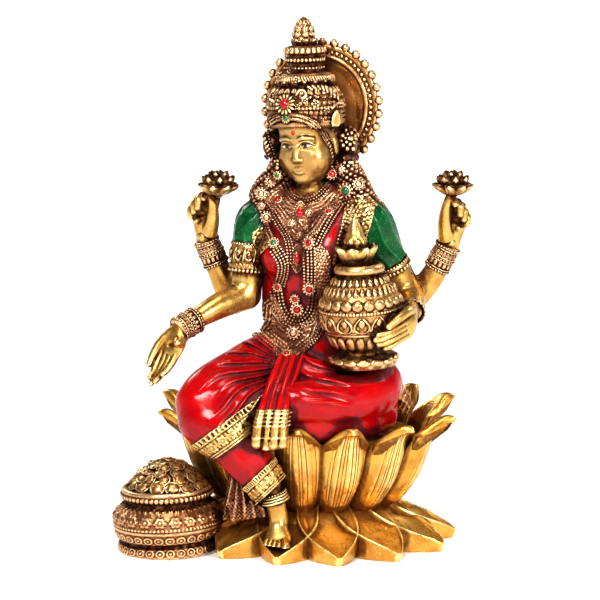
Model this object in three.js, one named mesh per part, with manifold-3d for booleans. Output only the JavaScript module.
// Lakshmi seated on a lotus with her right foot down: a painted idol, cast in one piece with its plinth.
// Millimetres, +Z up, origin at the middle of the flat underside, front towards -Y, her left hand side at
// +X.
import * as THREE from "three";
import { mergeVertices } from "three/addons/utils/BufferGeometryUtils.js";
import Module from "manifold-3d";

const wasm = await Module();
wasm.setup();

// Sizes of the open lotus that the idol stands on
const BASE_HALF_WIDTH = 86;
const BASE_HALF_DEPTH = 70;
const BASE_HEIGHT = 25;
const BASE_TIP_HEIGHT = 6.5;
const BASE_PETALS = 14;

// Sizes of the upright lotus that she sits on
const SEAT_HALF_WIDTH = 90;
const SEAT_HALF_DEPTH = 63;
const SEAT_HEIGHT = 50;
const SEAT_PETALS = 14;
const SEAT_PETAL_THICKNESS = 3.6;
const REAR_PETAL_RISE = 6;

// Height of the seated figure from the seat's rim to the tip of the crown
const FIGURE_HEIGHT = 222;

// Halo, kalash and treasure pot
const HALO_HALF_WIDTH = 33;
const HALO_HALF_HEIGHT = 36;
const HALO_BEADS = 30;
const HALO_BEAD_RADIUS = 2.9;
const KALASH_RADIUS = 22.4;
const KALASH_HEIGHT = 58;
const POT_RADIUS = 31;
const POT_HEIGHT = 36;

// The figure is drawn in a measure of its own: 222 from seat rim to crown tip, with the rim at 75
const DRAWN_HEIGHT = 222;
const DRAWN_RIM = 75;
const share = FIGURE_HEIGHT / DRAWN_HEIGHT;
const seatTop = BASE_HEIGHT + SEAT_HEIGHT;

function vec(x, y, z) {
  return new THREE.Vector3(x, y, z);
}

// A point of the figure, from its place in the figure's own measure
function fig(x, y, z) {
  return vec(x * share, y * share, seatTop + (z - DRAWN_RIM) * share);
}

// A closed triangle mesh as a solid, turned the right way out
function solid(points, faces) {
  const whole = faces.filter(([a, b, c]) => a !== b && b !== c && c !== a);
  let volume = 0;
  for (const [a, b, c] of whole) {
    volume += points[a].dot(points[b].clone().cross(points[c]));
  }
  const outward = volume > 0 ? whole : whole.map(([a, b, c]) => [a, c, b]);
  const mesh = new wasm.Mesh({
    numProp: 3,
    vertProperties: new Float32Array(points.flatMap((p) => [p.x, p.y, p.z])),
    triVerts: new Uint32Array(outward.flat()),
  });
  return new wasm.Manifold(mesh);
}

// A three.js geometry as a solid, moved by a matrix
function solidOf(geometry, matrix = new THREE.Matrix4()) {
  const bare = geometry.clone();
  bare.deleteAttribute("normal");
  bare.deleteAttribute("uv");
  bare.applyMatrix4(matrix);
  const merged = mergeVertices(bare, 1e-4);
  const place = merged.getAttribute("position");
  const points = Array.from({ length: place.count }, (_, i) => vec().fromBufferAttribute(place, i));
  const index = merged.getIndex().array;
  const faces = Array.from({ length: index.length / 3 },
    (_, i) => Array.from(index.slice(3 * i, 3 * i + 3)));
  return solid(points, faces);
}

// A closed skin over rings of equal count, with a fan at each end
function skin(rings) {
  const sides = rings[0].length;
  const points = rings.flat();
  const faces = [];
  for (let r = 0; r + 1 < rings.length; r += 1) {
    for (let s = 0; s < sides; s += 1) {
      const a = r * sides + s;
      const b = r * sides + ((s + 1) % sides);
      faces.push([a, b, b + sides], [a, b + sides, a + sides]);
    }
  }
  for (const [start, flip] of [[0, true], [(rings.length - 1) * sides, false]]) {
    const middle = points.length;
    points.push(average(points.slice(start, start + sides)));
    for (let s = 0; s < sides; s += 1) {
      const a = start + s;
      const b = start + ((s + 1) % sides);
      faces.push(flip ? [b, a, middle] : [a, b, middle]);
    }
  }
  return solid(points, faces);
}

function average(points) {
  const sum = points.reduce((total, p) => total.add(p), vec(0, 0, 0));
  return sum.divideScalar(points.length);
}

// A turned form about its own upright axis, from [radius, height] pairs, stood on a point and leaned
function turned(profile, sides, foot, axis = vec(0, 0, 1), flat = 1) {
  const lathe = new THREE.LatheGeometry(profile.map(([r, z]) => new THREE.Vector2(r, z)), sides);
  lathe.rotateX(Math.PI / 2);
  lathe.scale(1, flat, 1);
  const lean = new THREE.Quaternion().setFromUnitVectors(vec(0, 0, 1), axis.clone().normalize());
  return solidOf(lathe, new THREE.Matrix4().compose(foot, lean, vec(1, 1, 1)));
}

function ball(centre, radius, detail = 0) {
  return solidOf(new THREE.IcosahedronGeometry(radius, detail), new THREE.Matrix4().setPosition(centre));
}

// A rounded lump with its own half sizes along X, Y and Z
function lump(centre, halfX, halfY, halfZ, sides = 10) {
  const sphere = new THREE.SphereGeometry(1, sides, Math.round(sides * 0.6));
  return solidOf(sphere, new THREE.Matrix4().makeScale(halfX, halfY, halfZ).setPosition(centre));
}

// A limb through stations of [point, half width, half depth]; wide is the way that its width lies
function limb(stations, { sides = 8, steps = 3, wide = vec(1, 0, 0), fold = () => 1 } = {}) {
  const path = new THREE.CatmullRomCurve3(stations.map(([point]) => point));
  const sizes = new THREE.CatmullRomCurve3(stations.map(([, w, d = w]) => vec(w, d, 0)));
  const count = (stations.length - 1) * steps;
  const rings = [];
  const ringAt = (t, shift, shrink) => {
    const along = path.getTangent(t);
    const across = wide.clone().addScaledVector(along, -wide.dot(along)).normalize();
    const deep = along.clone().cross(across);
    const size = sizes.getPoint(t);
    const centre = path.getPoint(t).addScaledVector(along, shift * Math.min(size.x, size.y));
    return Array.from({ length: sides }, (_, s) => {
      const angle = (2 * Math.PI * s) / sides;
      const grow = shrink * fold(t, angle);
      return centre.clone()
        .addScaledVector(across, size.x * grow * Math.cos(angle))
        .addScaledVector(deep, size.y * grow * Math.sin(angle));
    });
  };
  rings.push(ringAt(0, -0.6, 0.6));
  for (let k = 0; k <= count; k += 1) {
    rings.push(ringAt(k / count, 0, 1));
  }
  rings.push(ringAt(1, 0.6, 0.6));
  return skin(rings);
}

// A pointed leaf from its root to its tip, four-sided, as wide as width half way up
function leaf(root, tip, width, thickness, out) {
  const along = tip.clone().sub(root);
  const across = along.clone().cross(out).normalize();
  const face = out.clone().normalize();
  const rings = [[0, 0.55], [0.45, 1], [0.8, 0.62], [0.99, 0.1]].map(([t, size]) => {
    const centre = root.clone().addScaledVector(along, t);
    return [[1, 0], [0, 1], [-1, 0], [0, -1]].map(([a, b]) => centre.clone()
      .addScaledVector(across, (a * size * width) / 2)
      .addScaledVector(face, (b * size * thickness) / 2));
  });
  return skin(rings);
}

// Solids joined two by two, so that no join is larger than it must be
function join(solids) {
  if (solids.length === 1) {
    return solids[0];
  }
  const half = Math.ceil(solids.length / 2);
  return join(solids.slice(0, half)).add(join(solids.slice(half)));
}

// The squared distance to a triangle's plane, as the ten numbers of a symmetric matrix, weighted by its area
function planeError(a, b, c) {
  const normal = b.clone().sub(a).cross(c.clone().sub(a));
  const area = normal.length() / 2;
  const { x, y, z } = normal.normalize();
  const d = -normal.dot(a);
  return [x * x, x * y, x * z, x * d, y * y, y * z, y * d, z * z, z * d, d * d].map((value) => value * area);
}

function errorAt(q, { x, y, z }) {
  return q[0] * x * x + q[4] * y * y + q[7] * z * z + q[9]
    + 2 * (q[1] * x * y + q[2] * x * z + q[3] * x + q[5] * y * z + q[6] * y + q[8] * z);
}

// A queue that gives the entry of least cost first
class CostQueue {
  constructor() {
    this.heap = [];
  }

  push(entry) {
    const { heap } = this;
    let at = heap.push(entry) - 1;
    while (at > 0 && heap[(at - 1) >> 1].cost > heap[at].cost) {
      const up = (at - 1) >> 1;
      [heap[up], heap[at]] = [heap[at], heap[up]];
      at = up;
    }
  }

  pop() {
    const { heap } = this;
    const least = heap[0];
    const last = heap.pop();
    if (heap.length > 0) {
      heap[0] = last;
      let at = 0;
      for (let next = this.lowerChild(0); next > 0; next = this.lowerChild(at)) {
        [heap[next], heap[at]] = [heap[at], heap[next]];
        at = next;
      }
    }
    return least;
  }

  // The cheaper child of a place in the heap, or 0 where both cost more than it does
  lowerChild(at) {
    const { heap } = this;
    const left = 2 * at + 1;
    const right = left + 1;
    const child = right < heap.length && heap[right].cost < heap[left].cost ? right : left;
    return child < heap.length && heap[child].cost < heap[at].cost ? child : 0;
  }
}

// A closed mesh with its least telling edges drawn together, until no more triangles are left than most.
// Corners on the ground stay on it, so the underside stays flat. Near a place in kept the form counts for
// more.
function thinned(points, faces, most, kept) {
  const GROUND = 1e-3;
  const errors = points.map(() => new Array(10).fill(0));
  const facesOf = points.map(() => new Set());
  const stamps = points.map(() => 0);
  faces.forEach((face, f) => {
    const corner = points[face[0]];
    const worth = Math.max(1, ...kept.filter(({ place, reach }) => corner.distanceTo(place) < reach)
      .map(({ worth: value }) => value));
    const error = planeError(...face.map((v) => points[v])).map((value) => value * worth);
    for (const v of face) {
      facesOf[v].add(f);
      errors[v] = errors[v].map((value, i) => value + error[i]);
    }
  });
  const neighbours = (v) => new Set([...facesOf[v]].flatMap((f) => faces[f]).filter((other) => other !== v));
  const queue = new CostQueue();
  const offer = (u, v) => {
    const low = [u, v].filter((w) => points[w].z < GROUND);
    const middle = points[u].clone().add(points[v]).multiplyScalar(0.5);
    const places = low.length === 1 ? [points[low[0]]] : [points[u], points[v], middle];
    const sum = errors[u].map((value, i) => value + errors[v][i]);
    const costs = places.map((place) => errorAt(sum, place) + 1e-4 * place.distanceToSquared(middle));
    const best = costs.indexOf(Math.min(...costs));
    queue.push({ cost: costs[best], u, v, place: places[best].clone(), stamp: `${stamps[u]} ${stamps[v]}` });
  };
  const folds = (v, other, place) => [...facesOf[v]].some((f) => {
    if (faces[f].includes(other)) {
      return false;
    }
    const before = faces[f].map((w) => points[w]);
    const after = faces[f].map((w) => (w === v ? place : points[w]));
    const [old, fresh] = [before, after].map(([a, b, c]) => b.clone().sub(a).cross(c.clone().sub(a)));
    return fresh.length() < 0.02 || old.dot(fresh) < 0.25 * old.length() * fresh.length();
  });
  points.forEach((_, v) => neighbours(v).forEach((other) => other > v && offer(v, other)));
  let left = faces.length;
  while (left > most && queue.heap.length > 0) {
    const { u, v, place, stamp } = queue.pop();
    const shared = facesOf[u].size && facesOf[v].size ? [...facesOf[u]].filter((f) => facesOf[v].has(f)) : [];
    const ring = neighbours(v);
    const common = [...neighbours(u)].filter((w) => ring.has(w));
    if (stamp === `${stamps[u]} ${stamps[v]}` && shared.length === 2 && common.length === 2
      && !folds(u, v, place) && !folds(v, u, place)) {
      for (const f of shared) {
        faces[f].forEach((w) => facesOf[w].delete(f));
        faces[f] = null;
      }
      for (const f of facesOf[v]) {
        faces[f] = faces[f].map((w) => (w === v ? u : w));
        facesOf[u].add(f);
      }
      facesOf[v].clear();
      errors[u] = errors[u].map((value, i) => value + errors[v][i]);
      points[u] = place;
      stamps[u] += 1;
      stamps[v] += 1;
      left -= 2;
      neighbours(u).forEach((w) => offer(u, w));
    }
  }
  return faces.filter((face) => face);
}

// Angles evenly spaced along the rim of an ellipse, the first one at start
function rimAngles(count, start, halfWidth, halfDepth) {
  const fine = 720;
  const speed = (a) => Math.hypot(halfWidth * Math.cos(a), halfDepth * Math.sin(a));
  const lengths = [0];
  for (let i = 0; i < fine; i += 1) {
    lengths.push(lengths[i] + speed(start + ((i + 0.5) * 2 * Math.PI) / fine));
  }
  return Array.from({ length: count }, (_, k) => {
    const i = lengths.findIndex((length) => length >= (k / count) * lengths[fine]);
    return start + (i * 2 * Math.PI) / fine;
  });
}

// A point on an ellipse about the axis: angle 0 is the front, and reach 1 is the full half width or depth
function onOval(angle, reach, z, halfWidth, halfDepth) {
  return vec(halfWidth * reach * Math.sin(angle), -halfDepth * reach * Math.cos(angle), z);
}

// Height of the open lotus's upper side at a reach from its axis
const BASE_SHOULDER = 0.5;
function baseTop(reach) {
  const out = THREE.MathUtils.clamp((reach - BASE_SHOULDER) / (1 - BASE_SHOULDER), 0, 1);
  return BASE_TIP_HEIGHT + (BASE_HEIGHT - BASE_TIP_HEIGHT) * (1 - out) ** 1.3;
}

// One open petal: a dished top with raised rims, cut off flat at the ground
function basePetal(angle) {
  const spread = Math.PI / BASE_PETALS;
  const rows = [0.42, 0.55, 0.68, 0.8, 0.9, 0.965, 1];
  const rings = rows.map((reach) => {
    const past = THREE.MathUtils.clamp((reach - 0.62) / 0.38, 0, 1);
    const half = (1.12 * spread * (1 - past ** 1.7) ** 0.95 + 0.01) / reach ** 0.45;
    const rim = 4.4 * (1 - past ** 3);
    const top = [1, 0.6, 0, -0.6, -1].map((v) => onOval(
      angle + v * half, reach, baseTop(reach) + rim * (v ** 2 - 0.6), BASE_HALF_WIDTH, BASE_HALF_DEPTH));
    const low = [-1, 0, 1].map((v) => onOval(
      angle + 0.9 * v * half, reach * 0.975, 0, BASE_HALF_WIDTH, BASE_HALF_DEPTH));
    return [...top, ...low];
  });
  return skin(rings);
}

// One upright petal: a fluted spoon that bulges outwards and curls out at its lip
const PETAL_LINE = [[0.5, 0], [0.665, 0.18], [0.745, 0.38], [0.8, 0.6], [0.84, 0.8], [0.885, 0.92],
  [0.95, 0.985],
  [0.995, 1]];
function seatPetal(angle) {
  const spread = Math.PI / SEAT_PETALS;
  const floor = BASE_HEIGHT - 4;
  const rearward = THREE.MathUtils.smoothstep(-Math.cos(angle), -0.3, 0.5);
  const rise = seatTop - floor + REAR_PETAL_RISE * rearward;
  const wall = (2 * SEAT_PETAL_THICKNESS) / (SEAT_HALF_WIDTH + SEAT_HALF_DEPTH);
  const widths = [0.74, 0.88, 0.96, 0.98, 0.95, 0.86, 0.68, 0.34];
  const rings = PETAL_LINE.map(([reach, up], row) => {
    const half = spread * widths[row];
    const edge = up < 1 ? 0.085 : 0.02;
    const flute = up < 0.9 ? 0.012 : 0;
    const drop = 7 * up ** 3;
    const outer = [1, 0.66, 0.33, 0, -0.33, -0.66, -1].map((v, i) => onOval(
      angle + v * half, reach - edge * v ** 2 - (i % 2 ? flute : 0),
      floor + rise * up - drop * v ** 2, SEAT_HALF_WIDTH, SEAT_HALF_DEPTH));
    const inner = [-0.9, 0, 0.9].map((v) => onOval(
      angle + v * half, reach - wall - edge * v ** 2,
      floor + rise * up - drop * v ** 2 + (up > 0.95 ? 1.5 : 0), SEAT_HALF_WIDTH, SEAT_HALF_DEPTH));
    return [...outer, ...inner];
  });
  return skin(rings);
}

function lotusBase() {
  const hub = [[0, 0], [0.6, 0], [0.64, 0.6], [0.56, 1], [0, 1]];
  const block = turned(hub.map(([r, z]) => [r * BASE_HALF_WIDTH, z * (BASE_HEIGHT - 2)]), 28, vec(0, 0, 0),
    vec(0, 0, 1), BASE_HALF_DEPTH / BASE_HALF_WIDTH);
  return [block, ...rimAngles(BASE_PETALS, 0, BASE_HALF_WIDTH, BASE_HALF_DEPTH).map(basePetal)];
}

function lotusSeat() {
  const first = THREE.MathUtils.degToRad(5.5);
  const podTop = seatTop - 11;
  const floor = BASE_HEIGHT - 5;
  const pod = [[0, floor], [0.44, floor], [0.56, floor + 10], [0.64, floor + 22], [0.7, podTop - 2],
    [0.66, podTop],
    [0, podTop]];
  const block = turned(pod.map(([r, z]) => [r * SEAT_HALF_WIDTH, z]), 28, vec(0, 0, 0), vec(0, 0, 1),
    SEAT_HALF_DEPTH / SEAT_HALF_WIDTH);
  return [block, ...rimAngles(SEAT_PETALS, first, SEAT_HALF_WIDTH, SEAT_HALF_DEPTH).map(seatPetal)];
}

// Torso as ovals: [height, middle across, middle front to back, half width, half depth]
const TORSO = [
  [76, 2, 5, 31, 27],
  [90, 1, 3, 33, 27],
  [103, 0.5, 2, 31, 24],
  [113, 0, 0, 27, 20],
  [121, 0, -2, 22, 16.5],
  [129, 0, -3, 20.5, 15],
  [139, 0.5, -3, 21.5, 15.5],
  [150, 1.5, -2.5, 24, 17],
  [162, 2, -2, 26.5, 18],
  [173, 2.5, -0.5, 28, 17],
  [182, 3, 1, 31, 14.5],
  [189, 3, 2.5, 29, 11.5],
  [194, 2.5, 3, 18, 9.5],
  [199, 2, 3, 8.5, 8],
];
const BREASTS = [[-11, -14, 164, 10.5], [14, -13, 164, 10.5]];

function torso() {
  const sides = 20;
  const rings = TORSO.map(([z, x, y, w, d]) => Array.from({ length: sides }, (_, s) => {
    const angle = (2 * Math.PI * s) / sides;
    return fig(x + w * Math.sin(angle), y - d * Math.cos(angle), z);
  }));
  const breasts = BREASTS.map(([x, y, z, r]) => lump(fig(x, y, z), r * share, r * share, r * share, 12));
  return [skin(rings), ...breasts];
}

// The foremost skin of the torso at a place across and up, in the figure's own measure
function frontAt(x, z) {
  const upper = Math.max(1, TORSO.findIndex(([height]) => height >= z));
  const [low, high] = [TORSO[upper - 1], TORSO[upper]];
  const mix = (z - low[0]) / (high[0] - low[0]);
  const [, cx, cy, w, d] = low.map((value, i) => value + (high[i] - value) * mix);
  let front = cy - d * Math.sqrt(Math.max(0.05, 1 - ((x - cx) / w) ** 2));
  for (const [bx, by, bz, r] of BREASTS) {
    const left = r ** 2 - (x - bx) ** 2 - (z - bz) ** 2;
    front = left > 0 ? Math.min(front, by - Math.sqrt(left)) : front;
  }
  return front;
}

// A raised chain or edging laid on the front of the torso through [across, up] places
function chain(places, half, lift = 0) {
  const stations = places.map(([x, z]) => [fig(x, frontAt(x, z) - lift, z), half * share]);
  return limb(stations, { sides: 5, steps: 2, wide: vec(0, 0, 1) });
}

// A jewel on the front of the torso: a boss with its stone
function rosette([x, z], radius) {
  const y = frontAt(x, z);
  const profile = [[0, -2], [radius, -2], [radius, 0.6], [radius * 0.72, 1.5], [radius * 0.5, 1.2],
    [radius * 0.36, 2.3], [0, 2.6]];
  return turned(profile.map(([r, h]) => [r * share, h * share]), 9, fig(x, y, z), vec(x * 0.02, -1, 0.05));
}

// A flat pendant drawn as [across, up] corners about its middle
function pendant([x, z], corners, thickness) {
  const shape = new THREE.Shape(corners.map(([a, b]) => new THREE.Vector2(a * share, b * share)));
  const plate = new THREE.ExtrudeGeometry(shape, {
    depth: thickness, bevelEnabled: false, curveSegments: 4 });
  plate.rotateX(Math.PI / 2);
  return solidOf(plate, new THREE.Matrix4().setPosition(fig(x, frontAt(x, z) + 1, z)));
}

function jewellery() {
  const kite = [[0, -8], [4.2, -0.5], [2.5, 4.5], [0, 7], [-2.5, 4.5], [-4.2, -0.5]];
  const drop = [[0, -9], [3.8, -2], [3, 3], [0, 8], [-3, 3], [-3.8, -2]];
  return [
    chain([[-13, 196], [-16, 190], [-13, 184], [-4, 177], [0, 174], [6, 177], [14, 185], [17, 191],
      [14, 197]], 2.6, 0.3),
    chain([[-22, 189], [-17, 181], [-13, 172], [-11, 160], [-10.5, 147]], 2.1, 0.6),
    chain([[24, 196], [19, 188], [12, 179], [8.5, 172], [7.5, 160], [6.5, 147]], 2.3, 0.6),
    chain([[-11, 143], [-8.5, 133], [-2, 127], [4, 129], [8, 136], [8.5, 143]], 2, 0.4),
    chain([[-19, 124], [-14, 116], [-8, 110], [-2.6, 106], [3, 110], [7, 117], [8.5, 124]], 2.4, 0.8),
    pendant([1, 190], kite, 3.2),
    pendant([1, 165], drop, 3.4),
    ...[[-12, 196], [-22, 188], [-18, 182], [17, 189], [-12, 171], [8, 172], [6.5, 147], [-10.5, 147],
      [-1, 139],
      [-0.8, 134], [-2.6, 110]].map((place) => rosette(place, 3.1)),
    rosette([-2, 123], 5.2),
  ];
}

function dress() {
  const gathers = (depth, count, turn) => (t, angle) => 1 + depth * Math.sin(count * angle + turn * t);
  const rightThigh = limb([
    [fig(0, 2, 97), 25, 22], [fig(-18, -16, 97), 23, 21], [fig(-31, -37, 94), 19.5, 18],
      [fig(-41, -51, 89.5), 17.5, 17],
    [fig(-49, -59, 83), 15.5, 15],
  ].map(scaled), { sides: 18, steps: 3, wide: vec(0, 0, 1), fold: gathers(0.07, 7, 7) });
  const rightDrape = limb([
    [fig(-46, -56, 87), 12, 12], [fig(-46, -60.5, 80), 17, 16], [fig(-37, -62, 75), 18, 16],
      [fig(-29, -62, 69.5), 17.5, 14.5],
  ].map(scaled), { sides: 18, steps: 2, wide: vec(0.6, 0.4, 0.6), fold: gathers(0.055, 6, 3) });
  const underSkirt = limb([
    [fig(-31, -60, 70), 13, 12], [fig(-22, -59, 59), 12.5, 11], [fig(-14, -57, 49), 10, 9],
      [fig(-8, -55, 39), 8, 7.5],
  ].map(scaled), { sides: 12, steps: 2, wide: vec(0.6, 0.4, 0.6), fold: gathers(0.07, 5, 4) });
  const leftThigh = limb([
    [fig(6, 4, 94), 22, 20], [fig(22, -4, 94), 18, 17], [fig(36, -10, 93.5), 17, 16.5],
      [fig(45, -14, 92), 15.5, 15],
  ].map(scaled), { sides: 18, steps: 2, wide: vec(0, 0, 1), fold: gathers(0.06, 6, 6) });
  const leftShin = limb([
    [fig(44, -18, 90), 14, 13.5], [fig(39, -30, 89), 14, 13], [fig(26, -41, 88.5), 13.5, 12.5],
      [fig(11, -48, 88.5), 12, 11.5],
    [fig(-2, -50, 89), 11, 10],
  ].map(scaled), { sides: 16, steps: 2, wide: vec(0, 0, 1), fold: gathers(0.06, 5, 5) });
  const lap = limb([
    [fig(-18, -24, 96), 13, 12], [fig(-2, -30, 97), 14, 13], [fig(16, -30, 95), 13, 13],
  ].map(scaled), { sides: 12, steps: 2, wide: vec(0, 0, 1) });
  const hemCloth = limb([
    [fig(-19, -55, 52), 8, 5], [fig(-25, -53, 38), 10, 5], [fig(-23, -50, 25), 10, 4],
      [fig(-21, -49, 19), 6, 3],
  ].map(scaled), { sides: 10, steps: 2, wide: vec(1, 0, 0), fold: gathers(0.08, 5, 2) });
  return [rightThigh, rightDrape, underSkirt, leftThigh, leftShin, lap, hemCloth, ...bands(), ...pleats()];
}

// Station radii are in the figure's own measure
function scaled([point, width, depth = width]) {
  return [point, width * share, depth * share];
}

// A raised band round a limb at a point, seen along the limb
function cuff(centre, axis, halfWidth, halfDepth, half, sides = 14) {
  const profile = [[0.6, -half], [1, -half], [1.06, -half + 1], [1.02, -0.2 * half], [1.05, 0.3 * half],
    [1.08, half - 0.8], [1.02, half], [0.6, half]];
  const closed = [...profile, profile[0]].map(([r, z]) => [r * halfWidth * share, z * share]);
  return turned(closed, sides, centre, axis, halfDepth / halfWidth);
}

function bands() {
  const shinWay = fig(-18, -60, 55).sub(fig(-38, -62, 76));
  return [
    cuff(fig(-29.5, -62, 70), shinWay, 17.6, 15.2, 6, 20),
    cuff(fig(-11, -56.5, 43.5), shinWay, 9.2, 8.8, 4.6, 14),
  ];
}

// Four pleats that fall from the belt over the lap and end in a gold hem
function pleats() {
  const count = 4;
  const gap = 5.3;
  return Array.from({ length: count }, (_, k) => {
    const side = (k - (count - 1) / 2) * gap;
    const reach = Math.abs(k - 1.5) < 1 ? 0.8 : 0;
    return limb([
      [fig(-1 + 0.7 * side, -30, 110), 2.2, 3], [fig(-1.5 + 0.8 * side, -42 - reach, 103), 2.5, 3.4],
      [fig(-2.5 + 0.92 * side, -55 - reach, 93), 2.9, 3.6], [fig(-3.5 + side, -64 - reach, 80), 3, 3.4],
      [fig(-4 + side, -67 - reach, 68), 3.2, 3.2],
    ].map(scaled), { sides: 6, steps: 2, wide: vec(1, 0, 0) });
  });
}

// A bracelet of three bead rows round a wrist or arm
function bracelet(centre, axis, radius, half) {
  const ridge = 1.5;
  const profile = [[radius * 0.6, -half], [radius + ridge, -half], [radius + ridge, -half * 0.62],
    [radius + 0.4, -half * 0.45], [radius + ridge * 0.9, -half * 0.2], [radius + ridge * 0.9, half * 0.2],
    [radius + 0.4, half * 0.45], [radius + ridge, half * 0.62], [radius + ridge, half],
      [radius * 0.6, half]];
  const closed = [...profile, profile[0]].map(([r, z]) => [r * share, z * share]);
  return turned(closed, 10, centre, axis);
}

// A finger bent at its two joints: root, way it points, way it bends, length and bend at each joint
function finger(root, along, palm, length, bends, thick) {
  const spine = [root.clone()];
  const way = along.clone().normalize();
  const hinge = way.clone().cross(palm).normalize();
  [0.42, 0.32, 0.26].forEach((part, i) => {
    way.applyAxisAngle(hinge, bends[i]);
    spine.push(spine[i].clone().addScaledVector(way, part * length * share));
  });
  const girths = [1, 0.98, 0.86, 0.62];
  return limb(spine.map((point, i) => [point, girths[i] * thick * share]),
    { sides: 5, steps: 1, wide: hinge });
}

// A hand: wrist, way to the knuckles, way the palm faces, which side the thumb is on, and the fingers' bends
function hand({ wrist, aim, palm, thumbSide, bends, thumbWay, thumbLength = 12 }) {
  const along = aim.clone().normalize();
  const face = palm.clone().addScaledVector(along, -palm.dot(along)).normalize();
  const side = along.clone().cross(face).multiplyScalar(thumbSide);
  const at = (a, s, f) => wrist.clone().addScaledVector(along, a * share).addScaledVector(side, s * share)
    .addScaledVector(face, f * share);
  const block = limb([
    [at(-4, 0, 0), 5.2, 4.2], [at(2, 0, 0), 5.2, 3.6], [at(8, 0.2, 0), 6.6, 3.3], [at(15.5, 0, 0), 6.6, 2.7],
  ].map(scaled), { sides: 8, steps: 1, wide: side });
  const lengths = [15, 16.5, 15.5, 12.5];
  const fingers = lengths.map((length, i) => finger(
    at(14.5 - 0.7 * Math.abs(i - 1), 4.9 - 3.3 * i, 0),
      along.clone().addScaledVector(side, 0.06 * (1.5 - i)),
    face, length, bends[i], 2.05 - 0.08 * i));
  const way = along.clone().multiplyScalar(thumbWay[0]).addScaledVector(side, thumbWay[1])
    .addScaledVector(face, thumbWay[2]);
  const thumb = finger(at(3.5, 4, 0.6), way, face, thumbLength, [0, 0.25, 0.2], 2.1);
  return [block, thumb, ...fingers];
}

// Two rear arms are raised with a lotus each, two front arms give and hold
const RIGHT_FRONT = { root: [-17, 1, 187], shoulder: [-28, -2, 182], upper: [-31.5, -7, 165],
  elbow: [-33, -10, 140],
  lower: [-44.5, -26, 136], wrist: [-57.5, -42, 128] };
const RIGHT_REAR = { root: [-18, 9, 184], shoulder: [-29, 9, 172], upper: [-38.5, 9, 153],
  elbow: [-46, 8.5, 132],
  lower: [-52.5, 6, 150], wrist: [-60, 1.8, 170] };
const LEFT_FRONT = { root: [23, 3, 188], shoulder: [35, 5, 183], upper: [43, 11.5, 164],
  elbow: [53.5, 20, 139],
  lower: [59, 9, 136.5], wrist: [62, -5, 134] };
const LEFT_REAR = { root: [24, 12, 184], shoulder: [36, 19, 174], upper: [46, 26, 155],
  elbow: [54.5, 31, 134],
  lower: [65.3, 33.5, 148], wrist: [75, 33, 167] };

function arm({ root, shoulder, upper, elbow, lower, wrist }, sleeved) {
  const girths = sleeved ? [8, 10.6, 8.9, 8.2, 7.6, 5.6] : [6, 8, 7.2, 7.4, 7.2, 5.6];
  return limb([root, shoulder, upper, elbow, lower,
    wrist].map((place, i) => [fig(...place), girths[i] * share]),
    { sides: 10, steps: 3, wide: vec(0, 1, 0.2) });
}

function between(from, to, part) {
  return fig(...from).lerp(fig(...to), part);
}

function arms() {
  const parts = [];
  for (const pose of [RIGHT_FRONT, LEFT_FRONT]) {
    const way = between(pose.upper, pose.elbow, 1).sub(fig(...pose.upper));
    parts.push(arm(pose, true), bracelet(between(pose.upper, pose.elbow, 0.2), way, 8.6, 4.6));
  }
  for (const pose of [RIGHT_REAR, LEFT_REAR]) {
    parts.push(arm(pose, false));
  }
  for (const [pose, part] of [[RIGHT_FRONT, 1.06], [RIGHT_REAR, 0.62], [LEFT_REAR, 0.62]]) {
    const way = fig(...pose.wrist).sub(fig(...pose.lower));
    parts.push(bracelet(between(pose.lower, pose.wrist, part), way, 5.9, 6.6));
  }
  const leftWay = fig(...LEFT_FRONT.wrist).sub(fig(...LEFT_FRONT.lower));
  parts.push(bracelet(fig(...LEFT_FRONT.wrist), leftWay, 5.4, 1.8));
  return parts;
}

function hands() {
  const open = [0.05, 0.12, 0.12];
  const slack = [0.12, 0.3, 0.25];
  const grip = [1.25, 1.2, 0.7];
  const pinch = [0.55, 1.1, 0.6];
  const giving = hand({ wrist: fig(-62, -47, 125), aim: vec(-0.36, -0.3, -0.88), palm: vec(-0.6, -0.78, 0.1),
    thumbSide: 1, bends: [open, open, slack, slack], thumbWay: [0.85, 0.3, 0.2], thumbLength: 16 });
  const raised = [[RIGHT_REAR, vec(0.02, -0.2, 1), 1], [LEFT_REAR, vec(0.12, -0.1, 1), -1]].flatMap(
    ([pose, aim, side]) => hand({ wrist: fig(...pose.wrist).add(vec(1.5, 0, 5).multiplyScalar(share)), aim,
      palm: vec(-0.55 * side, -0.83, 0), thumbSide: side, bends: [pinch, grip, grip, grip],
      thumbWay: [1, 0.1, 0.35], thumbLength: 16 }));
  return [...giving, ...raised, ...holdingHand()];
}

// The kalash stands on her left thigh; a point beside it at an angle from +X, a height share and a
// distance out
const KALASH_FOOT = [39.3, -27.5, 108.6];
const KALASH_LEAN = [-3, -0.6, 56];
function byKalash(angle, up, out) {
  const turn = THREE.MathUtils.degToRad(angle);
  const foot = fig(...KALASH_FOOT);
  const axis = vec(...KALASH_LEAN).normalize();
  return foot.addScaledVector(axis, up * KALASH_HEIGHT)
    .add(vec(Math.cos(turn), Math.sin(turn), 0).multiplyScalar(KALASH_RADIUS + out));
}

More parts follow.
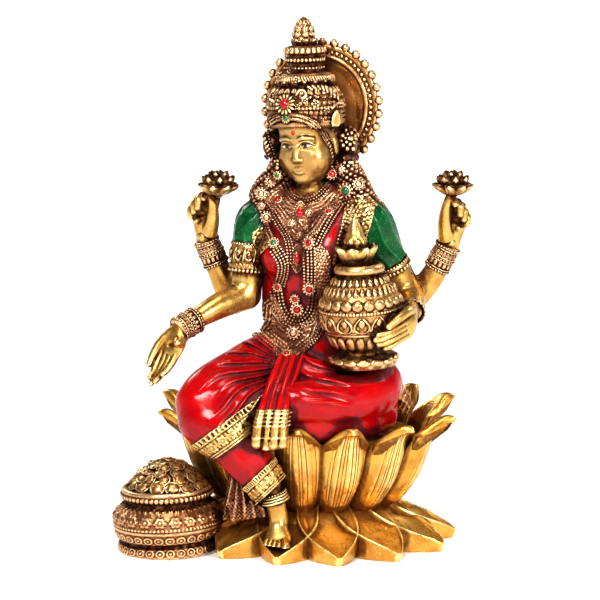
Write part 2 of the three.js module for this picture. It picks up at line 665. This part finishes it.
function kalash() {
  const profile = [[0, -2], [0.85, -2], [0.86, 0.04], [0.8, 0.09], [0.6, 0.14], [0.76, 0.2], [0.93, 0.29],
    [1, 0.43], [1, 0.52], [0.94, 0.62], [0.83, 0.73], [0.68, 0.83], [0.55, 0.89], [0.6, 0.92], [0.6, 0.98],
    [0.5, 1], [0.42, 0.99], [0.38, 1.04], [0, 1.05]];
  const body = turned(profile.map(([r, h], i) => [r * KALASH_RADIUS, i < 2 ? h : h * KALASH_HEIGHT]), 20,
    fig(...KALASH_FOOT), vec(...KALASH_LEAN));
  const axis = vec(...KALASH_LEAN).normalize();
  const mouth = fig(...KALASH_FOOT).addScaledVector(axis, KALASH_HEIGHT);
  const leaves = Array.from({ length: 8 }, (_, k) => {
    const turn = (2 * Math.PI * k) / 8;
    const out = vec(Math.cos(turn), Math.sin(turn), 0);
    const root = mouth.clone().addScaledVector(out, 0.3 * KALASH_RADIUS);
    const tip = mouth.clone().addScaledVector(out, 0.56 * KALASH_RADIUS).addScaledVector(axis, 12);
    return leaf(root, tip, 10.5, 3.4, out);
  });
  const bud = [[0, -2], [6, 0], [6.8, 6], [6.2, 12], [5, 18], [2.6, 25], [0, 29]];
  return [body, ...leaves, turned(bud, 9, mouth, axis)];
}

function holdingHand() {
  const palm = limb([
    [fig(...LEFT_FRONT.wrist), 5.2, 4.4], [byKalash(32, 0.42, 5), 6, 4], [byKalash(8, 0.33, 3.6), 6.4, 3],
  ].map(scaled), { sides: 8, steps: 2, wide: vec(0, 0, 1) });
  const fingers = [0, 1, 2, 3].map((k) => {
    const up = 0.42 - 0.072 * k;
    const length = [50, 54, 52, 44][k];
    return limb([
      [byKalash(22, 0.5 * (up + 0.38), 3.6), 2.2], [byKalash(10 - 0.55 * length, up - 0.01, 1.7), 1.9],
      [byKalash(10 - 1.2 * length, up + 0.005, 1), 1.4],
    ].map(scaled), { sides: 5, steps: 2, wide: vec(0, 0, 1) });
  });
  const thumb = limb([
    [byKalash(24, 0.5, 4.2), 2.7], [byKalash(-10, 0.55, 2.2), 2.3], [byKalash(-38, 0.5, 1.2), 1.6],
  ].map(scaled), { sides: 5, steps: 2, wide: vec(0, 0, 1) });
  return [palm, thumb, ...fingers];
}

// A lotus flower on its stem, held up in a rear hand
function flower(place, foot) {
  const middle = fig(...place);
  const up = vec(0, 0, 1);
  const ring = (count, reach, lift, width, start) => Array.from({ length: count }, (_, k) => {
    const turn = start + (2 * Math.PI * k) / count;
    const out = vec(Math.cos(turn), Math.sin(turn), 0);
    const root = middle.clone().addScaledVector(out, 2 * share).addScaledVector(up, -5 * share);
    const tip = middle.clone().addScaledVector(out, reach * share).addScaledVector(up, lift * share);
    return leaf(root, tip, width * share, 3.6 * share, out.clone().add(vec(0, 0, 0.6)));
  });
  const core = turned([[0, -7], [4, -5], [6.5, 0], [5, 5],
    [0, 6.5]].map(([r, z]) => [r * share, z * share]), 8, middle);
  const stem = limb([[fig(...foot), 1.9], [middle.clone().add(vec(0, 0, -5 * share)), 1.7]].map(scaled),
    { sides: 5, steps: 1 });
  return [core, stem, ...ring(8, 12.4, 0.5, 9.5, 0.2), ...ring(6, 9, 6, 8.5, 0.5)];
}

function flowers() {
  return [...flower([-49.5, -8, 203.5], [-55, -3, 180]), ...flower([78.5, 24, 203.5], [75, 29, 181])];
}

// Head in its own frame: turned to her right, bowed a little and tilted
const HEAD_SIZE = 1.06;
const HEAD = new THREE.Matrix4().compose(
  fig(0.4, 3.2, 225.3), new THREE.Quaternion().setFromEuler(new THREE.Euler(0.07, -0.09, -0.22, "ZYX")),
  vec(share, share, share).multiplyScalar(HEAD_SIZE));

function inHead(x, y, z) {
  return vec(x, y, z).applyMatrix4(HEAD);
}

// Rings of the head from the chin up: [height, half width, depth to the front, depth to the back]
const SKULL = [
  [-20.5, 3, 13.6, 2], [-19, 6.2, 15, 6], [-15.5, 9.6, 15.6, 11], [-12, 11.6, 15.4, 14],
    [-8.5, 12.8, 15.2, 16],
  [-5, 13.6, 15.2, 17.5], [-1.5, 14.2, 14.8, 18.5], [1.5, 14.5, 14.6, 19], [5, 14.7, 15.5, 19.3],
    [10, 14.6, 15.8, 19],
  [16, 13.4, 13.8, 17.5], [21.5, 9, 9, 12],
];

// How far the middle line stands out at a height: nose, lips and chin
function profileRise(z) {
  const bump = (middle, spread, high) => high * Math.exp(-(((z - middle) / spread) ** 2));
  return bump(-7, 2.6, 3.1) + bump(-3, 3.5, 1.7) + bump(-12, 1.5, 1.1) + bump(-14.6, 1.2, 0.9) + bump(-19,
    1.8, 0.9);
}

function head() {
  const sides = 18;
  const rings = SKULL.map(([z, w, front, back]) => Array.from({ length: sides }, (_, s) => {
    const angle = (2 * Math.PI * s) / sides;
    const ahead = Math.cos(angle) > 0;
    const rise = s === 0 ? profileRise(z) : 0;
    const socket = (s === 1 || s === sides - 1) && Math.abs(z - 1.5) < 1 ? 1 : 0;
    return inHead(w * Math.sin(angle), -(ahead ? front + rise - socket : back) * Math.cos(angle), z);
  }));
  const neck = limb([[fig(2, 3, 192), 9, 8.5], [fig(1.8, 3, 199), 7.6, 7.4],
    [fig(1.2, 3.4, 208), 7.6, 8]].map(scaled),
    { sides: 12, steps: 2 });
  const ears = [-1, 1].map((side) => limb([
    [inHead(side * 14.2, 2.5, 3), 1.4, 2.4], [inHead(side * 15, 2.8, -2), 1.6, 2.8],
      [inHead(side * 14.4, 2, -7), 1.3, 2],
  ].map(scaled), { sides: 5, steps: 1, wide: vec(1, 0, 0) }));
  const drops = [-1, 1].map((side) => ball(inHead(side * 13.8, 1, -9.5), 3 * share, 1));
  return [skin(rings), neck, ...ears, ...drops];
}

// Hair: a cap swept back from the forehead, a coil at the nape and locks down the back
function hair() {
  const cap = limb([
    [inHead(0, 6.5, -13), 13, 9], [inHead(0, 7, -5), 17, 13.5], [inHead(0, 5.5, 5), 18.5, 16.5],
      [inHead(0, 3.5, 15), 18.5, 18],
    [inHead(0, 2, 22), 16, 15],
  ].map(scaled), { sides: 16, steps: 2, wide: vec(1, 0, 0) });
  const locks = [-1.6, -0.8, 0, 0.8, 1.6].map((k) => limb([
    [fig(1 + 5 * k, 15 - Math.abs(k), 212), 4.5, 5], [fig(2 + 8 * k, 15.5 - Math.abs(k), 196), 5, 4.5],
    [fig(2 + 10 * k, 18 - 1.4 * Math.abs(k), 178), 5, 4.2], [fig(2 + 8 * k, 17 - Math.abs(k), 158), 4, 3.6],
  ].map(scaled), { sides: 6, steps: 2, wide: vec(1, 0, 0) }));
  const falls = [[-1, -16, 3], [1, 21, 9]].map(([side, x, y]) => limb([
    [fig(x - side, y - 1, 217), 5], [fig(x + 2 * side, y - 2, 206), 7.6],
      [fig(x + 7 * side, y - 4, 196), 8.6],
    [fig(x + 10 * side, y - 6, 187), 7.4],
  ].map(scaled), { sides: 8, steps: 2, wide: vec(1, 0, 0),
    fold: (t, angle) => 1 + 0.08 * Math.sin(3 * angle + 9 * t) }));
  return [cap, ...locks, ...falls];
}

// The tiered crown leans with the head; its foot hides the hair
const CROWN_FOOT = [-1.2, 4.8, 236];
const CROWN_LEAN = [-2.5, 1.6, 60];
function crown() {
  const tiers = [[0, 0], [20.4, 0], [21.6, 3], [21.6, 10], [19.4, 17], [14, 22], [13.6, 22.8], [15.4, 23.4],
    [15.4, 28.6],
    [11.2, 29.6], [10.6, 31.4], [9.6, 34.4], [10.6, 36], [10.6, 37.8], [9, 39], [11.4, 40.2], [11.4, 43.6],
      [6, 44.4],
    [5.8, 48.5], [4.6, 55.5], [2.4, 59.4], [0, 60.8]];
  const foot = fig(...CROWN_FOOT);
  const axis = vec(...CROWN_LEAN).normalize();
  const body = turned(tiers.map(([r, h]) => [r * share, h * share]), 18, foot, axis);
  const petals = Array.from({ length: 9 }, (_, k) => {
    const turn = (2 * Math.PI * k) / 9;
    const out = vec(Math.cos(turn), Math.sin(turn), 0);
    const root = foot.clone().addScaledVector(axis, 40 * share).addScaledVector(out, 8 * share);
    const tip = foot.clone().addScaledVector(axis, 45.5 * share).addScaledVector(out, 10.8 * share);
    return leaf(root, tip, 7 * share, 2.6 * share, out);
  });
  return [body, ...petals, ...crownFront(foot, axis)];
}

// Stones and leaves on the front of the crown, and a bun at its left side
function crownFront(foot, axis) {
  const around = (degrees, up, out) => {
    const turn = THREE.MathUtils.degToRad(degrees);
    return foot.clone().addScaledVector(axis, up * share)
      .add(vec(Math.sin(turn), -Math.cos(turn), 0).multiplyScalar(out * share));
  };
  const stud = (degrees, up, out, radius) => {
    const centre = around(degrees, up, out);
    const outward = centre.clone().sub(foot.clone().addScaledVector(axis, up * share));
    const profile = [[0, -3], [1, -3], [1, 0.8], [0.7, 1.6], [0.5, 1.3], [0.35, 2.4], [0, 2.7]];
    return turned(profile.map(([r, h]) => [r * radius * share, h * share]), 10, centre, outward);
  };
  const band = [-100, -75, -50, 20, 45, 70, 95].map((degrees) => stud(degrees, 3, 20.4, 3.2));
  return [stud(-15, 8, 21.4, 5.6), stud(-40, 9, 20.6, 3.6), stud(12, 9, 21, 3.6), stud(-15, 17, 17.6, 3.6),
    stud(62, -9, 19.5, 6.2), ...band];
}

// The halo: a dished disc on a thick rim, ringed with beads
const HALO_MIDDLE = [3.4, 21, 245];
function halo() {
  const middle = fig(...HALO_MIDDLE);
  const axis = vec(0.04, -1, 0.03).normalize();
  const profile = [[0, -2.2], [0.9, -2.2], [0.98, -1.2], [0.98, 1.4], [0.88, 2.2], [0.82, 1.4], [0.78, 2.6],
    [0.72, 2.2],
    [0.68, 0.4], [0, 0]];
  const across = vec(0, 0, 1).cross(axis).normalize();
  const upward = axis.clone().cross(across);
  const lathe = new THREE.LatheGeometry(profile.map(([r, h]) => new THREE.Vector2(r, h)), 30);
  const upright = new THREE.Matrix4().makeBasis(
    across.clone().multiplyScalar(HALO_HALF_WIDTH), axis, upward.clone().multiplyScalar(HALO_HALF_HEIGHT));
  const disc = solidOf(lathe, upright.setPosition(middle));
  const beads = Array.from({ length: HALO_BEADS }, (_, k) => {
    const turn = (2 * Math.PI * k) / HALO_BEADS;
    const centre = middle.clone().addScaledVector(across, HALO_HALF_WIDTH * Math.cos(turn))
      .addScaledVector(upward, HALO_HALF_HEIGHT * Math.sin(turn));
    return ball(centre, HALO_BEAD_RADIUS);
  });
  return [disc, ...beads];
}

// The treasure pot stands on the ground against a petal of the base, joined to it by a small ledge
const POT_ANGLE = THREE.MathUtils.degToRad(-50.5);
const LEDGE_RADIUS = 5;
function treasurePot() {
  const place = onOval(POT_ANGLE, 1.03, 0, BASE_HALF_WIDTH, BASE_HALF_DEPTH);
  const axis = vec(-0.04, 0, 1);
  const profile = [[0, 0], [0.88, 0], [0.92, 0.08], [0.86, 0.2], [0.94, 0.26], [1, 0.42], [0.98, 0.6],
    [0.86, 0.72],
    [0.76, 0.78], [0.8, 0.9], [0.84, 0.97], [0.78, 1], [0.7, 1.04], [0.66, 1.14], [0.5, 1.28], [0.26, 1.38],
      [0, 1.42]];
  const body = turned(profile.map(([r, h]) => [r * POT_RADIUS, h * POT_HEIGHT]), 22, place, axis);
  const coin = (turn, reach, up) => turned([[0, -1.4], [4, -1.4], [4, 0.9], [3.2, 1.3], [0, 1.3]], 8,
    place.clone().add(vec(reach * Math.cos(turn) * POT_RADIUS, reach * Math.sin(turn) * POT_RADIUS,
      up * POT_HEIGHT)),
    vec(Math.cos(turn) * reach * 1.4, Math.sin(turn) * reach * 1.4, 0.8));
  const outer = Array.from({ length: 11 }, (_, k) => coin((2 * Math.PI * k) / 11, 0.6, 1.17));
  const inner = Array.from({ length: 6 }, (_, k) => coin(0.3 + (2 * Math.PI * k) / 6, 0.33, 1.33));
  const ledge = onOval(POT_ANGLE, 0.9, 4, BASE_HALF_WIDTH, BASE_HALF_DEPTH);
  return [body, ...outer, ...inner, coin(0, 0.02, 1.4), ball(ledge, LEDGE_RADIUS)];
}

// The bare right foot rests on the front petal of the base
function foot() {
  const on = (x, reach, rise) => vec(x * share, -BASE_HALF_DEPTH * reach, baseTop(reach) + rise * share);
  const ankle = fig(-4, -53.5, 33);
  const leg = limb([
    [fig(-8, -55, 39), 5.6, 5.6], [ankle, 5, 5], [on(-3, 0.75, 8), 4.8, 5.6], [on(-2, 0.84, 5), 6, 4],
      [on(-0.5, 0.92, 3), 6.4, 2.8],
  ].map(scaled), { sides: 10, steps: 2, wide: vec(1, 0, 0) });
  const heel = lump(on(-3.5, 0.7, 4.5), 4.6 * share, 5.4 * share, 5.4 * share, 8);
  const toes = [5, 2.2, -0.5, -3, -5.2].map((x, i) => {
    const thick = i === 0 ? 2.4 : 1.9 - 0.1 * i;
    const reach = 0.965 - 0.012 * i;
    return limb([[on(x, reach - 0.08, 2.6), thick], [on(x + 0.4, reach, 2.4), thick]].map(scaled),
      { sides: 5, steps: 1, wide: vec(1, 0, 0) });
  });
  const anklet = turned([[3.5, -1.6], [7, -1.6], [7.6, 0], [7, 1.6], [3.5, 1.6], [3.5, -1.6]].map(
    ([r, h]) => [r * share, h * share]), 10, fig(-5.5, -54, 35.5), fig(-4, -53.5, 33).sub(fig(-8, -55, 39)));
  return [leg, heel, ...toes, anklet];
}

// The end of the sari falls over her left shoulder and down her back
function scarf() {
  const front = limb([
    [fig(27, 6, 191), 3, 8], [fig(20, -12, 186), 3, 8], [fig(15, -24, 172), 2.6, 8],
      [fig(11, -24, 158), 2.4, 7],
    [fig(7, -20, 145), 2.2, 6],
  ].map(([point, thick, broad]) => [point, broad * share, thick * share]),
    { sides: 8, steps: 2, wide: vec(1, 0, 0) });
  const back = limb([
    [fig(27, 6, 191), 8, 3], [fig(25, 17, 180), 9, 3], [fig(20, 20, 160), 10, 3],
      [fig(16, 20, 138), 11, 3.4],
    [fig(14, 24, 112), 13, 4], [fig(15, 32, 92), 15, 4.5], [fig(18, 40, 79), 16, 5],
  ].map(scaled), { sides: 12, steps: 2, wide: vec(1, 0, 0),
    fold: (t, angle) => 1 + 0.08 * Math.sin(6 * angle) });
  const cloth = limb([
    [fig(44, 0, 88), 9, 5], [fig(53, 6, 86), 8, 5], [fig(58, 10, 80), 7, 4.5],
  ].map(scaled), { sides: 8, steps: 2, wide: vec(0, 0, 1) });
  return [front, back, cloth];
}

// The outer shells alone, so that pockets buried between joined forms are filled, as in a casting
function filled(whole) {
  return join(whole.decompose().filter((shell) => shell.volume() > 0));
}

// The most triangles that the casting is drawn with
const MOST_TRIANGLES = 9600;

// One casting in one mesh
function statue() {
  const parts = [...lotusBase(), ...lotusSeat(), ...torso(), ...dress(), ...scarf(), ...foot(), ...arms(),
    ...hands(),
    ...head(), ...hair(), ...crown(), ...halo(), ...kalash(), ...flowers(), ...treasurePot(),
      ...jewellery()];
  const ground = turned([[0, 0], [300, 0], [300, 400], [0, 400]], 4, vec(0, 0, 0));
  const whole = filled(join(parts).intersect(ground).simplify(0.02));
  const { points, faces } = meshLists(whole);
  const kept = [
    { place: inHead(0, -14, -3), reach: 18 * share, worth: 20 },
    { place: fig(0, -24, 165), reach: 40 * share, worth: 2 },
    { place: fig(-66, -52, 114), reach: 22 * share, worth: 3 },
    { place: fig(56, -30, 126), reach: 20 * share, worth: 2 },
    { place: fig(-52, -5, 195), reach: 22 * share, worth: 3 },
    { place: fig(78, 26, 195), reach: 22 * share, worth: 3 },
  ];
  return solid(points, thinned(points, faces, MOST_TRIANGLES, kept));
}

// A solid's corners and triangles as lists
function meshLists(whole) {
  const { numProp, vertProperties, triVerts } = whole.getMesh();
  const points = Array.from({ length: vertProperties.length / numProp }, (_, i) => (
    vec(...vertProperties.subarray(i * numProp, i * numProp + 3))));
  const faces = Array.from({ length: triVerts.length / 3 }, (_, i) => Array.from(triVerts.subarray(3 * i,
    3 * i + 3)));
  return { points, faces };
}

function meshOf(whole, name, material) {
  const { numProp, vertProperties, triVerts } = whole.getMesh();
  const places = new Float32Array((vertProperties.length / numProp) * 3);
  for (let i = 0; i < places.length / 3; i += 1) {
    places.set(vertProperties.subarray(i * numProp, i * numProp + 3), i * 3);
  }
  const geometry = new THREE.BufferGeometry()
    .setAttribute("position", new THREE.BufferAttribute(places, 3))
    .setIndex(new THREE.BufferAttribute(triVerts, 1));
  geometry.computeVertexNormals();
  const mesh = new THREE.Mesh(geometry, material);
  mesh.name = name;
  return mesh;
}

const gilt = new THREE.MeshStandardMaterial({ color: 0xb98a3c, roughness: 0.38, metalness: 0.7 });
const lakshmi = new THREE.Group();
lakshmi.add(meshOf(statue(), "lakshmi_statue", gilt));

export default lakshmi;
